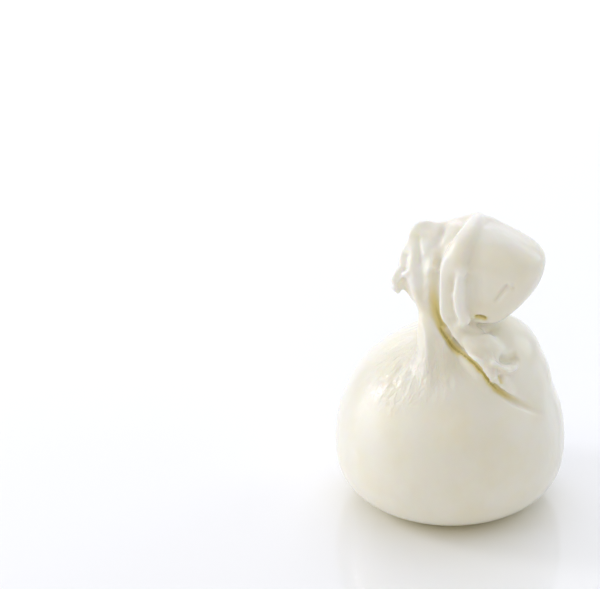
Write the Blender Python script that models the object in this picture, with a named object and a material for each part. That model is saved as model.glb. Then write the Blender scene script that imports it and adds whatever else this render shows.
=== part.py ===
"""Burrata: a pouch of stretched curd, gathered at the neck and knotted over itself.

The cheese is one piece, so it is one solid. It is modelled the way it is shaped by hand: the round pouch,
the strands of the neck, the hood and the open fan of the knot are built as closed skins and fused, and the
folds between them are pressed in afterwards. Sizes are in millimetres and become metres when a mesh is made.
+Z is up, -Y is the front, and the origin is the middle of the patch that the cheese rests on.
"""

import math

import bmesh
import bpy
import numpy as np
from mathutils import Matrix, Vector

MM = 0.001

# Pouch: a dome over a sagging lower half, blended into the neck
BODY_RADIUS = 31.0
WIDEST_HEIGHT = 17.5
DOME_RISE = 32.3
SAG_DEPTH = 18.6
SAG_POWER = 2.9
NECK_RADIUS = 9.5
NECK_TOP = 60.0
NECK_BLEND = 3.0
NECK_LEAN = 3.0

# Knot: squareness of the hood at its folded corner and elsewhere (2 is an oval), and the pleats of the fan
# as (place, width, height)
HOOD_CORNER = 3.2
HOOD_ROUND = 2.25
FAN_PLEATS = [(0.14, 0.07, -0.8), (0.30, 0.09, 0.8), (0.48, 0.06, -0.9), (0.62, 0.09, 0.9), (0.85, 0.12, -0.8)]

# Meshing
COARSE_VOXEL = 0.9
FINE_VOXEL = 0.5
RING_POINTS = 128
LIMB_POINTS = 32
TRIANGLES = 11600

# Gathers down the unseen back of the pouch: direction in degrees from +X, and how far down they run
BACK_GATHERS = [(22, 30), (48, 24), (70, 34), (96, 26), (118, 36), (140, 30), (160, 42)]

# Ridges and creases worked into the fused skin: path, height or depth, half width, and where they aren't
# short, the parts of the path over which they fade in and out
RIDGES = [
    # the overhanging edge of the curd that wraps the right shoulder
    ([(3.5, -14.5, 52), (7.5, -16.8, 48.5), (11.5, -18.0, 44), (15.5, -18.5, 40), (20, -17.0, 37)], 0.9, 2.0,
     0.15, 0.5),
    # a crumple in that curd, and the hollow rim above it
    ([(7.5, -16.7, 50), (10.2, -17.1, 48.5), (12.9, -16.9, 47.2), (17, -14.7, 46.7)], 0.8, 1.2),
    # the pleat down the neck, and the toe of the hood
    ([(-6.6, -11.3, 58.6), (-6.5, -14.6, 52.2), (-6.4, -17.3, 46.2), (-6.3, -22, 38)], 0.4, 1.5, 0.2, 0.6),
    ([(2.6, -12, 60.5), (3.6, -12.8, 57.4), (5.0, -12.6, 57)], 0.6, 1.4),
]
LONG_FOLD = [
    # down the knot and the neck, then across the front of the pouch
    ([(2.8, -0.5, 83), (0.2, -3.5, 80), (-1.8, -4.5, 76.5), (-3.1, -5.2, 72.1), (-3.8, -6.6, 69), (-4.4, -8.4, 66),
      (-4.7, -9.4, 62.5), (-4.2, -10.4, 58.1), (-3.1, -11.4, 55.2), (-1.4, -12.2, 52.3)], 2.2, 1.0, 0.75, 0.1),
    ([(-3.1, -11.6, 55.2), (-1.4, -12.2, 52.3), (1.2, -13.3, 50.2), (4.7, -15.5, 48.5), (8.0, -16.6, 45.6),
      (10.9, -17.3, 42.0), (14.3, -18, 39.2), (18.3, -17.6, 36.7), (23, -14.8, 32.7), (26, -11.2, 30.5)], 3.2, 1.0,
     0.1, 0.4),
]
CREASES = [
    # between the two lips of the knot, and under the hood with its small pit
    ([(2.4, -10.5, 73), (0.6, -10.9, 70.3), (-0.7, -11.3, 67.3), (-1.1, -12, 63.4), (-0.6, -12.8, 59.6),
      (0.9, -13.6, 56)], 2.0, 1.7),
    ([(2.2, -13.6, 56), (6.9, -12.9, 55.1), (11.2, -9, 53.5), (15.5, -6, 53.5)], 0.7, 0.9),
    # a short wrinkle in the hood, and the soft dent to the right of the neck pleat
    ([(14.6, -12.4, 69.5), (12.5, -12.5, 66.6), (10.5, -12.5, 63.9)], 0.6, 0.8),
    ([(-4.6, -13, 56), (-4.2, -15.5, 50), (-4.1, -19, 44), (-4.2, -22, 38)], 0.5, 1.3, 0.2, 0.6),
]

# Finer folds, worked in afterwards in the same way
FINE_RIDGES = [
    # the sharp edges of the inner and the outer lip
    ([(2.9, -10.5, 74.9), (1.9, -10.4, 71.6), (1.7, -10.6, 68.1), (1.8, -11.0, 64.7), (2.0, -11.6, 61.5),
      (2.4, -12.6, 59.2), (3.2, -13.3, 57.0)], 1.5, 1.0),
    ([(-1.5, -9.7, 77.3), (-2.6, -10.4, 74.0), (-3.3, -10.6, 69.9), (-3.3, -10.6, 65.0), (-3.0, -11.2, 61.1),
      (-2.4, -11.9, 58.3), (-1.6, -12.6, 55.9)], 0.5, 0.8),
    # the curled edge under the hollow of the wrap, and its crumpled rim along the long fold
    ([(9.4, -18.2, 49.6), (11.0, -18.0, 48.9), (12.3, -17.8, 48.1), (13.6, -17.6, 47.3), (15.3, -16.8, 46.2),
      (16.6, -15.6, 46.3), (17.6, -14.1, 47.0)], 1.2, 0.7),
    ([(5.2, -17.0, 50.3), (6.8, -17.8, 49.9), (8.1, -18.5, 48.5), (9.4, -19.0, 46.7), (10.5, -19.3, 44.8),
      (11.6, -19.3, 43.0)], 0.6, 0.6),
    ([(11.3, -18.4, 47.4), (11.6, -19.3, 44.6)], 0.5, 0.45),
    ([(14.2, -17.4, 45.4), (14.8, -17.8, 43.5), (15.6, -17.9, 41.8), (17.2, -17.6, 39.5)], 0.5, 0.8),
    ([(2.7, -14.4, 54.1), (4.9, -15.0, 53.5), (7.5, -15.3, 52.8), (10.1, -14.7, 52.2)], 0.4, 1.2),
    # pleats of the fan
    ([(-7.7, -0.1, 79.2), (-8.4, -2.4, 77.1), (-8.1, -4.4, 75.1), (-7.6, -6.2, 73.7)], 0.7, 0.8),
    ([(-10.3, -3.4, 76.4), (-10.7, -5.4, 73.8), (-10.7, -6.9, 71.0), (-9.9, -8.2, 67.6)], 0.6, 0.8),
    ([(-13.6, -4.5, 67.1), (-12.5, -5.2, 68.4), (-11.2, -7.0, 70.2)], 0.6, 0.5),
    # the rim of the hood's wrinkle, and a thin thread of curd down the front
    ([(15.4, -12.2, 68.5), (13.6, -12.3, 66.2), (11.5, -12.4, 63.3)], 0.35, 0.5),
    ([(1.0, -16.5, 45.9), (1.1, -18.6, 43.4), (1.1, -21.2, 40.9)], 0.2, 0.5),
    # the left edge of the neck
    ([(-9.2, -10.1, 57.9), (-7.3, -13.1, 55.9), (-6.7, -15.1, 52.5), (-6.4, -17.2, 47.6), (-6.3, -19.9, 41.6)],
     0.3, 0.5, 0.2, 0.4),
]
PIT = ([(5.9, -11.4, 58.7), (7.1, -10.9, 59.1), (8.5, -10.9, 58.9), (10.0, -10.9, 58.4)], 2.6, 0.7, 0.1, 0.5)
FINE_CREASES = [
    # tucked in under the inner lip
    ([(1.9, -10.5, 73.9), (1.0, -10.5, 70.6), (0.6, -10.9, 67.0), (0.6, -11.5, 63.4), (1.0, -12.3, 60.0),
      (2.2, -13.2, 56.8)], 1.5, 0.6),
    # the end of the trough, the shaded left side of the hood, and the seam where it meets the wrap
    ([(-0.5, -12.4, 59.8), (-0.2, -13.1, 57.8), (0.6, -13.9, 55.2)], 0.5, 0.6),
    ([(4.5, -10.5, 73.7), (4.1, -11.0, 69.7), (4.1, -11.3, 65.1), (4.7, -11.6, 61.1)], 0.7, 1.3),
    ([(1.7, -14.0, 55.3), (4.8, -13.4, 54.9), (7.5, -12.3, 54.5), (10.7, -7.8, 53.1), (14.1, -6.0, 52.8)], 0.6, 0.5),
    ([(14.6, -12.2, 69.4), (12.5, -12.0, 66.9), (10.5, -12.4, 63.8)], 0.5, 0.45),
    # valleys and pockets of the fan
    ([(-9.0, -1.4, 78.3), (-8.9, -4.3, 75.1), (-8.6, -6.9, 71.1)], 0.7, 0.6),
    ([(-1.9, 1.9, 78.9), (-4.2, -2.4, 77.1), (-6.0, -6.1, 75.4), (-7.0, -7.4, 73.1), (-6.7, -8.7, 71.1)], 0.8, 1.5),
    ([(-12.3, -4.1, 74.3), (-12.6, -5.1, 71.9), (-12.5, -5.5, 69.4)], 0.9, 0.8),
    ([(-13.9, -3.6, 71.1), (-14.1, -4.3, 67.9)], 0.5, 0.5),
    ([(-8.8, -8.6, 66.0), (-8.2, -9.1, 63.9), (-7.9, -9.5, 61.7)], 0.6, 0.9),
    # the hollow in the wrap, and the nicks along its crumpled rim
    ([(12.8, -15.4, 49.7), (14.7, -15.0, 48.6), (16.3, -13.9, 48.3), (17.9, -12.4, 48.4)], 1.1, 1.2),
    ([(13.0, -18.1, 45.7), (13.3, -18.6, 44.2), (13.5, -19.1, 42.7)], 0.8, 0.5),
    ([(3.1, -14.3, 48.9), (2.5, -15.0, 51.7), (1.7, -14.2, 53.6)], 0.7, 0.5),
    ([(12.2, -18.0, 41.0), (11.3, -19.4, 44.0), (10.8, -19.0, 46.2)], 0.6, 0.4),
    ([(8.9, -18.9, 45.5), (7.8, -18.5, 48.3)], 0.5, 0.4),
]


def clear_scene():
    for obj in list(bpy.data.objects):
        bpy.data.objects.remove(obj, do_unlink=True)


def smooth_path(points, count):
    """Points spread along one smooth curve through the given ones."""
    p = np.array(points, float)
    p = np.vstack([2 * p[0] - p[1], p, 2 * p[-1] - p[-2]])
    out = []
    for s in np.linspace(0, len(p) - 3 - 1e-9, count):
        i = int(s)
        t = s - i
        a, b, c, d = p[i : i + 4]
        cubic = 3 * b - a - 3 * c + d
        square = 2 * a - 5 * b + 4 * c - d
        out.append(0.5 * (2 * b + (c - a) * t + square * t**2 + cubic * t**3))
    return np.array(out)


def unit(vectors):
    return vectors / np.linalg.norm(vectors, axis=-1, keepdims=True)


def add_object(name, bm):
    mesh = bpy.data.meshes.new(name)
    bm.to_mesh(mesh)
    bm.free()
    obj = bpy.data.objects.new(name, mesh)
    bpy.context.scene.collection.objects.link(obj)
    return obj


def skin(name, rings):
    """A closed skin through rings of equal length, its first and last ring capped."""
    bm = bmesh.new()
    rows = [[bm.verts.new(point) for point in ring] for ring in np.array(rings) * MM]
    for lower, upper in zip(rows, rows[1:]):
        for i in range(len(lower)):
            j = (i + 1) % len(lower)
            bm.faces.new((lower[i], lower[j], upper[j], upper[i]))
    bm.faces.new(rows[0][::-1])
    bm.faces.new(rows[-1])
    bmesh.ops.recalc_face_normals(bm, faces=bm.faces)
    return add_object(name, bm)


def ellipsoid(name, centre, radii, lean=0.0):
    """A ball stretched to three radii, its top leaned towards +X by a number of degrees."""
    bm = bmesh.new()
    bmesh.ops.create_icosphere(bm, subdivisions=4, radius=MM)
    turn = Matrix.Rotation(math.radians(lean), 4, "Y")
    shape = Matrix.Translation(Vector(centre) * MM) @ turn @ Matrix.Diagonal((*radii, 1))
    bmesh.ops.transform(bm, matrix=shape, verts=bm.verts)
    return add_object(name, bm)


def limb(name, path, sizes, facing, count=24):
    """A tapering strand of oval section, rounded at both ends. Sizes are (half width, half thickness) along
    the path, and facing is the side that the thickness is measured towards, one or several along the path."""
    line = smooth_path(path, count)
    size = smooth_path(sizes, count)
    facing = np.atleast_2d(facing)
    facing = smooth_path(facing, count) if len(facing) > 1 else np.repeat(facing, count, axis=0)
    tangent = unit(np.gradient(line, axis=0))
    angle = np.linspace(0, 2 * math.pi, LIMB_POINTS, endpoint=False)[:, None]
    stations = [(0, -c) for c in np.linspace(0.97, 0.2, 5)]
    stations += [(k, 0.0) for k in range(count)]
    stations += [(count - 1, c) for c in np.linspace(0.2, 0.97, 5)]
    rings = []
    for k, cap in stations:
        along = tangent[k]
        width, thick = size[k] * math.sqrt(1 - cap * cap)
        face = unit(facing[k] - along * np.dot(facing[k], along))
        side = np.cross(along, face)
        centre = line[k] + along * cap * size[k].min()
        rings.append(centre + width * np.cos(angle) * side + thick * np.sin(angle) * face)
    return skin(name, rings)


def body_radius(z):
    if z < WIDEST_HEIGHT:
        drop = (WIDEST_HEIGHT - z) / SAG_DEPTH
        return BODY_RADIUS * (1 - drop**SAG_POWER) ** (1 / SAG_POWER)
    rise = min(1.0, (z - WIDEST_HEIGHT) / DOME_RISE)
    dome = BODY_RADIUS * math.sqrt(1 - rise * rise)
    return NECK_BLEND * math.log(math.exp(dome / NECK_BLEND) + math.exp(NECK_RADIUS / NECK_BLEND))


def pouch():
    bottom = WIDEST_HEIGHT - 0.995 * SAG_DEPTH
    lower = bottom + (WIDEST_HEIGHT - bottom) * (1 - np.cos(np.linspace(0, math.pi / 2, 24)))
    upper = np.linspace(WIDEST_HEIGHT, NECK_TOP, 60)[1:]
    angle = np.linspace(0, 2 * math.pi, RING_POINTS, endpoint=False)
    rings = []
    for z in np.concatenate([lower, upper]):
        radius = body_radius(z)
        lean = NECK_LEAN * max(0.0, (z - 40) / 20)
        height = np.full(RING_POINTS, z)
        rings.append(np.column_stack([lean + radius * np.cos(angle), radius * np.sin(angle), height]))
    return skin("pouch", rings)


def hood():
    """The puffed loop on the right of the knot: upright front, rounded top that falls away to the right."""
    # height, left, right, front and back of each level
    levels = [(55.5, 7.0, 13.0, -8.5, 3.0), (57.5, 3.8, 15.5, -11.4, 5.5), (61.0, 1.4, 19.5, -12.3, 7.5),
              (66.0, 0.8, 23.2, -12.5, 8.8), (72.0, 1.0, 24.6, -12.2, 8.3), (76.0, 2.0, 21.6, -11.0, 6.6),
              (79.5, 4.0, 15.8, -8.8, 4.6), (82.0, 5.6, 10.4, -5.0, 3.0)]
    levels = smooth_path(levels, 40)
    angle = np.linspace(0, 2 * math.pi, 64, endpoint=False)
    square = np.where((np.cos(angle) < 0) & (np.sin(angle) < 0), HOOD_CORNER, HOOD_ROUND)
    across = np.sign(np.cos(angle)) * np.abs(np.cos(angle)) ** (2 / square)
    deep = np.sign(np.sin(angle)) * np.abs(np.sin(angle)) ** (2 / square)
    rings = []
    for z, left, right, front, back in levels:
        x = (left + right) / 2 + (right - left) / 2 * across
        y = (front + back) / 2 + (back - front) / 2 * deep
        rings.append(np.column_stack([x, y, np.full(len(angle), z)]))
    return skin("hood", rings)


def fan():
    """The open petal on the left of the knot. Ribs rise from the neck to a thin free rim and spread as they
    rise; the front follows the ribs, and the back lies behind it by a thickness that thins to the rim."""
    ribs = [
        [(-8.0, -5.0, 52), (-10.0, -5.5, 58), (-12.0, -5.5, 61.5), (-15.6, -5.5, 63.5)],
        [(-7.6, -8.5, 53), (-9.8, -8.0, 61), (-12.2, -6.0, 67.5), (-14.0, -3.0, 73.5)],
        [(-6.6, -10.0, 54), (-8.0, -9.3, 63), (-9.6, -6.5, 72), (-10.0, -0.5, 80)],
        [(-5.5, -11.0, 54), (-5.8, -10.3, 64), (-6.2, -7.0, 73.5), (-6.0, 2.0, 80)],
        [(-4.2, -11.0, 55), (-4.4, -9.2, 66), (-3.2, -4.5, 75), (-1.5, 4.0, 80.5)],
        [(-2.5, -9.5, 57), (-2.2, -6.5, 68), (0.5, -2.0, 77.0), (4.0, 3.5, 82.5)],
    ]
    rows = 18
    across = 48
    ribs = np.array([smooth_path(rib, rows) for rib in ribs])
    front = np.array([smooth_path(ribs[:, k], across) for k in range(rows)])
    outward = unit(np.cross(np.gradient(front, axis=1), np.gradient(front, axis=0)))
    place = np.linspace(0, 1, across)
    rise = np.linspace(0, 1, rows)[:, None]
    wave = sum(size * np.exp(-((place - at) / wide) ** 2) for at, wide, size in FAN_PLEATS)
    swell = np.clip((rise - 0.25) / 0.3, 0, 1) * np.clip((1.1 - rise) / 0.3, 0, 1)
    front = front + outward * (wave * swell)[:, :, None]
    thick = 1.3 + 7.0 * (1 - rise) ** 1.5 * np.ones((rows, across))
    back = front - outward * thick[:, :, None]
    return skin("fan", [np.vstack([f, b[::-1]]) for f, b in zip(front, back)])


def fuse(name, pieces, voxel, passes):
    """One closed skin round all the pieces, its creases eased by a number of smoothing passes."""
    bm = bmesh.new()
    for piece in pieces:
        bm.from_mesh(piece.data)
        bpy.data.objects.remove(piece, do_unlink=True)
    obj = add_object("fused", bm)
    remesh = obj.modifiers.new("skin", "REMESH")
    remesh.mode = "VOXEL"
    remesh.voxel_size = voxel * MM
    ease = obj.modifiers.new("ease", "SMOOTH")
    ease.factor = 0.5
    ease.iterations = passes
    graph = bpy.context.evaluated_depsgraph_get()
    done = bpy.data.meshes.new_from_object(obj.evaluated_get(graph))
    obj.modifiers.clear()
    obj.data = done
    obj.name = done.name = name
    return obj


def read(mesh, kind):
    values = np.empty(len(mesh.vertices) * 3)
    if kind == "normal":
        mesh.vertex_normals.foreach_get("vector", values)
    else:
        mesh.vertices.foreach_get("co", values)
    return values.reshape(-1, 3)


def stroke(obj, path, depth, width, start=0.15, end=0.15):
    """Presses the surface in along a path, or raises it where depth is negative. It fades in over the first
    and out over the last part of the path."""
    mesh = obj.data
    co = read(mesh, "co") / MM
    normal = read(mesh, "normal")
    line = smooth_path(path, 80)
    line = np.array([obj.closest_point_on_mesh(Vector(p) * MM)[1] for p in line]) / MM
    place = np.linspace(0, 1, 80)
    strength = np.clip(np.minimum(place / start, (1 - place) / end), 0, 1)
    strength = strength * strength * (3 - 2 * strength)
    low, high = line.min(axis=0) - 3 * width, line.max(axis=0) + 3 * width
    near = np.flatnonzero(np.all((co > low) & (co < high), axis=1))
    gap = np.linalg.norm(co[near, None, :] - line[None], axis=2)
    nearest = gap.argmin(axis=1)
    amount = np.exp(-(gap.min(axis=1) / width) ** 2) * strength[nearest]
    co[near] -= depth * amount[:, None] * normal[near]
    mesh.vertices.foreach_set("co", (co * MM).ravel())
    mesh.update()


def press(obj, strokes, times):
    for path, depth, width, *fades in strokes:
        stroke(obj, path, depth * times, width, *fades)


def build_base():
    shoulder = ellipsoid("shoulder", (11.9, -2.0, 41.6), (13.3, 16.5, 12.0), 35)
    flank = ellipsoid("flank", (10.3, -1.5, 32.5), (17.2, 19.0, 18.5))
    strand = limb("strand", [(-4.5, -19.0, 36.5), (-4.5, -14.5, 45), (-5.0, -10.5, 52.5), (-5.5, -7, 59)],
                  [(6.0, 2.5), (7, 3.4), (6, 4), (5, 4)], (0, -1, 0.3))
    return fuse("base", [pouch(), shoulder, flank, strand], COARSE_VOXEL, 40)


def build_knot():
    core = ellipsoid("core", (3.5, 0.5, 62), (8.5, 8, 15))
    heart = ellipsoid("heart", (-4.8, -0.5, 65), (5.8, 6.0, 11.5))
    nape = limb("nape", [(1.5, 6, 50), (0, 6, 60), (-1.5, 5, 69), (0.5, 4.0, 76.5)],
                [(8.5, 5), (8.5, 5), (8, 4), (5.5, 2.8)], (-0.2, 1, 0))
    tuck = limb("tuck", [(12, 3, 50), (9, 7, 57), (9, 8.5, 66), (8.5, 6, 75), (6, 3.5, 80)],
                [(4, 3), (4, 3), (4, 3), (3.6, 2.8), (3, 2.4)], (0.2, 1, 0))
    marrow = limb("marrow", [(-0.7, -6.4, 59), (-0.9, -6.6, 65), (-0.1, -6.1, 71), (0.6, -5.2, 76)],
                  [(2.8, 2.4), (2.8, 2.4), (2.6, 2.4), (2.4, 2.2)], (0, -1, 0))
    crest = limb("crest", [(3.4, 1.0, 78.4), (6.5, 0.5, 80.3), (9.0, 0.5, 80.6), (12, 0.5, 79)],
                 [(2.4, 2.2), (2.6, 2.2), (2.6, 2.2), (2.6, 2.2)], (0, 0, 1))
    outer_lip = limb("outer_lip", [(6.4, -0.5, 81.5), (4.2, -5.0, 80.2), (1.9, -8.0, 76.9), (0.2, -9.2, 71.5),
                                   (-0.4, -9.8, 65.6), (0.4, -10.7, 59.6), (2.6, -12.0, 54.5)],
                     [(2.7, 2.5), (2.9, 2.5), (3.3, 2.5), (3.6, 2.0), (3.5, 1.8), (3.3, 1.8), (3.0, 2.0)],
                     [(-0.6, -1, 0.4), (-0.4, -1, 0.2), (0.0, -1, 0), (0.5, -1, 0), (0.6, -1, 0), (0.6, -1, 0)])
    wrap = limb("wrap", [(3.0, -11.0, 54.0), (7, -12.5, 49.5), (12.0, -14.0, 43.0), (18, -12.5, 36.0)],
                [(3.5, 3.2), (6, 4.2), (7, 4.4), (7, 3.4)], (0.1, -1, 0.6))
    web = limb("web", [(1.0, 1.0, 79.0), (-1.5, -2.6, 76.0), (-3.0, -5.0, 72.0), (-4.0, -7.0, 67.5)],
               [(2.6, 1.6), (2.8, 2.0), (2.6, 2.0), (1.6, 1.2)], (-0.4, -1, 0.4))
    roll = limb("roll", [(-11.4, -1.2, 77.8), (-9.6, 0.2, 79.9), (-7.4, 1.2, 80.4), (-5.4, 2.0, 79.9)],
                [(0.9, 0.8), (1.0, 0.9), (1.0, 0.9), (0.8, 0.7)], (0, -1, 0.4))
    torn = limb("torn", [(-13.2, -5.2, 65.6), (-15.0, -5.5, 64.6), (-16.4, -5.6, 64.4)],
                [(1.3, 0.8), (1.2, 0.7), (0.8, 0.6)], (0, -1, 0))
    return [core, heart, nape, tuck, marrow, hood(), crest, outer_lip, wrap, fan(), web, roll, torn]


def back_creases():
    """Creases that fan out from the back of the neck, each a little crooked."""
    creases = []
    for number, (heading, low) in enumerate(BACK_GATHERS):
        angle = math.radians(heading)
        path = []
        for z in np.linspace(61, low, 7):
            bend = angle + 0.05 * math.sin(0.25 * z + 1.7 * number)
            radius = body_radius(z)
            lean = NECK_LEAN * max(0.0, (z - 40) / 20)
            path.append((lean + radius * math.cos(bend), radius * math.sin(bend), z))
        creases.append((path, 0.8, 1.6, 0.2, 0.6))
    return creases


def settle(obj):
    """Cuts the flat patch that the cheese rests on and brings the middle of the base to the origin."""
    bm = bmesh.new()
    bm.from_mesh(obj.data)
    everything = bm.verts[:] + bm.edges[:] + bm.faces[:]
    bmesh.ops.bisect_plane(bm, geom=everything, plane_co=(0, 0, 0), plane_no=(0, 0, 1), clear_inner=True)
    rim = [v for v in bm.verts if abs(v.co.z) < 0.01 * MM]
    bmesh.ops.remove_doubles(bm, verts=rim, dist=0.2 * MM)
    patch = bmesh.ops.holes_fill(bm, edges=[e for e in bm.edges if e.is_boundary])["faces"]
    bmesh.ops.triangulate(bm, faces=patch)
    bmesh.ops.recalc_face_normals(bm, faces=bm.faces)
    xs = [v.co.x for v in bm.verts]
    ys = [v.co.y for v in bm.verts]
    middle = Vector(((min(xs) + max(xs)) / 2, (min(ys) + max(ys)) / 2, 0))
    bmesh.ops.translate(bm, verts=bm.verts, vec=-middle)
    bm.to_mesh(obj.data)
    bm.free()


def thin_out(obj):
    """Brings the mesh down to its number of triangles and keeps the resting patch exactly flat."""
    thin = obj.modifiers.new("thin", "DECIMATE")
    thin.ratio = TRIANGLES / sum(len(face.vertices) - 2 for face in obj.data.polygons)
    graph = bpy.context.evaluated_depsgraph_get()
    mesh = bpy.data.meshes.new_from_object(obj.evaluated_get(graph))
    obj.modifiers.clear()
    obj.data = mesh
    co = read(mesh, "co")
    co[np.abs(co[:, 2]) < 0.03 * MM, 2] = 0.0
    mesh.vertices.foreach_set("co", co.ravel())
    mesh.update()


def curd():
    material = bpy.data.materials.new("curd")
    material.use_nodes = True
    surface = material.node_tree.nodes["Principled BSDF"]
    surface.inputs["Base Color"].default_value = (0.87, 0.84, 0.74, 1.0)
    surface.inputs["Roughness"].default_value = 0.3
    surface.inputs["Subsurface Weight"].default_value = 0.5
    surface.inputs["Subsurface Radius"].default_value = (0.006, 0.004, 0.002)
    surface.inputs["Coat Weight"].default_value = 0.4
    return material


def main():
    clear_scene()
    cheese = fuse("burrata", [build_base()] + build_knot(), FINE_VOXEL, 4)
    press(cheese, RIDGES, -1)
    press(cheese, LONG_FOLD + CREASES + back_creases(), 1)
    cheese = fuse("burrata", [cheese], FINE_VOXEL, 1)
    press(cheese, FINE_RIDGES, -1)
    press(cheese, FINE_CREASES + [PIT], 1)
    cheese = fuse("burrata", [cheese], FINE_VOXEL, 2)
    settle(cheese)
    thin_out(cheese)
    cheese.data.materials.clear()
    cheese.data.materials.append(curd())
    cheese.data.shade_smooth()


main()
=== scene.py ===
"""Burrata on a glossy white table: the cheese with its fine folds and wet curd, and a small bright studio."""

import math

import bmesh
import bpy
import numpy as np
from bpy.props import FloatProperty, FloatVectorProperty, IntProperty, PointerProperty
from mathutils import Matrix, Vector, noise


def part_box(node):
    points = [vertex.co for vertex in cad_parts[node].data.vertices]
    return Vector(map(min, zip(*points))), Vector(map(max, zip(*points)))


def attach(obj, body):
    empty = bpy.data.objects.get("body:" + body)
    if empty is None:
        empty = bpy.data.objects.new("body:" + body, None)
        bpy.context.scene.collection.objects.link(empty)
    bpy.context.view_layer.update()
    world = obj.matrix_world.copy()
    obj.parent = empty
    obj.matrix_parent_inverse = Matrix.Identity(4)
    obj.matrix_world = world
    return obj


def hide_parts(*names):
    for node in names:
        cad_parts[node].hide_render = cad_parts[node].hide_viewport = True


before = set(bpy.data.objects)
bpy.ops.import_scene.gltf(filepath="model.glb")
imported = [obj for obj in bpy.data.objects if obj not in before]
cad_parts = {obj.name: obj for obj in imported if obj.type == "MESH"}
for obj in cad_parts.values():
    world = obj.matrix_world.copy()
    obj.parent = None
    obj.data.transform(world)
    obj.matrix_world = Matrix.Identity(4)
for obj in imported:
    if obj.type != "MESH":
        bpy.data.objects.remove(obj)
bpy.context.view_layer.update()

bl_info = {
    "name": "Burrata",
    "version": (1, 0, 0),
    "blender": (4, 5, 0),
    "location": "View3D > Sidebar > Burrata",
    "description": "Builds a knotted burrata and the table it is shown on",
    "category": "Object",
}

MM = 0.001

# The body that the cheese rides on, and the node that it stands for
BODY = "root"
NODE = "burrata"

# Lengths are in millimetres from here on, until a mesh is made of them.
# Pouch: how its lower half sags, how much of that is made, and how it blends into the neck
SAG_DEPTH = 18.6
SAG_POWER = 2.9
SAG_REACH = 0.995
NECK_TOP = 60.0
NECK_BLEND = 3.0
# How far the neck leans to the right, and the heights between which it leans
NECK_LEAN = 3.0
LEAN_START = 40.0
LEAN_END = 60.0

# Fineness of the pieces: how often a ball is divided, points round a ring, rings of each piece, and the rings
# of a strand's round end with the part of the end's radius that the first and the last of them lie at
BALL_DIVISIONS = 5
RING_POINTS = 160
LOWER_RINGS = 24
UPPER_RINGS = 60
LIMB_POINTS = 40
LIMB_RINGS = 24
CAP_RINGS = 5
CAP_START = 0.2
CAP_END = 0.97
HOOD_POINTS = 64
HOOD_RINGS = 40
FAN_POINTS = 64
FAN_RINGS = 24

# Fusing: voxel of the rough base, how far a smoothing pass moves a point towards its neighbours, and the
# passes for the base, the joined pieces and the pressed skin
COARSE_VOXEL = 0.9
EASE = 0.5
BASE_EASE = 40
JOIN_EASE = 6
PRESS_EASE = 2

# Knot: squareness of the hood at its folded corner and elsewhere (2 is an oval)
HOOD_CORNER = 3.2
HOOD_ROUND = 2.25
# The fan: its pleats as (place, width, height), where along the rise they come in and go out and over how
# much of it, and its thickness at the rim, what the root adds to that, and how that tapers
FAN_PLEATS = [
    (0.14, 0.08, -0.5),
    (0.30, 0.10, 0.5),
    (0.45, 0.07, -0.7),
    (0.62, 0.11, 0.8),
    (0.85, 0.12, -0.8),
]
PLEATS_IN = 0.25
PLEATS_OUT = 1.1
PLEATS_OVER = 0.3
FAN_RIM = 1.3
FAN_ROOT = 7.0
FAN_TAPER = 1.5

# Gathers down the back of the pouch: direction in degrees from +X and the height that they run down to, the
# height that they start at, points of each, how far and how often they bend, and each as (depth, half width,
# parts of the path over which it fades in and out)
BACK_GATHERS = [(22, 30), (48, 24), (70, 34), (96, 26), (118, 36), (140, 30), (160, 42)]
GATHER_TOP = 61
GATHER_POINTS = 7
GATHER_BEND = 0.05
GATHER_WAVE = 0.25
GATHER_SHIFT = 1.7
GATHER_STROKE = (0.8, 1.6, 0.2, 0.6)

# Ridges and creases worked into the fused skin: path, height or depth, half width, and where they aren't
# short, the parts of the path over which they fade in and out
RIDGES = [
    # the overhanging edge of the curd that wraps the right shoulder
    ([(3.5, -14.5, 52), (7.5, -16.8, 48.5), (11.5, -18.0, 44), (15.5, -18.5, 40), (20, -17.0, 37)], 0.9, 2.0,
     0.15, 0.5),
    # a crumple in that curd
    ([(7.5, -16.7, 50), (10.2, -17.1, 48.5), (12.9, -16.9, 47.2), (17, -14.7, 46.7)], 0.8, 1.2),
    # the pleat down the neck, and the toe of the hood
    ([(-6.6, -11.3, 58.6), (-6.5, -14.6, 52.2), (-6.4, -17.3, 46.2), (-6.3, -22, 38)], 0.4, 1.5, 0.2, 0.6),
    ([(2.6, -12, 60.5), (3.6, -12.8, 57.4), (5.0, -12.6, 57)], 0.6, 1.4),
]
LONG_FOLD = [
    # down the knot and the neck, then across the front of the pouch
    ([(2.8, -0.5, 83), (0.2, -3.5, 80), (-1.8, -4.5, 76.5), (-3.1, -5.2, 72.1), (-3.8, -6.6, 69),
      (-4.4, -8.4, 66), (-4.6, -9.4, 62.5), (-4.0, -10.4, 58.9), (-2.4, -11.6, 56.1), (0.0, -12.4, 52.9)],
     2.2, 1.0, 0.75, 0.1),
    ([(-2.4, -11.6, 56.1), (0.0, -12.4, 52.9), (3.3, -14.1, 50.2), (6.4, -15.8, 48.5), (9.3, -17.0, 45.5),
      (11.7, -17.6, 42.5), (14.3, -18, 39.7), (18.3, -17.6, 36.8), (22.6, -15.1, 33.2), (26, -11.2, 30.5)],
     3.0, 0.9, 0.1, 0.4),
    # the slope into it from the left
    ([(-5.6, -7.5, 72.5), (-6.0, -9.3, 69.5), (-6.0, -10.0, 65.5), (-5.6, -10.3, 61.0), (-4.6, -11.2, 57.0)],
     1.0, 2.4, 0.3, 0.3),
]
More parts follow.
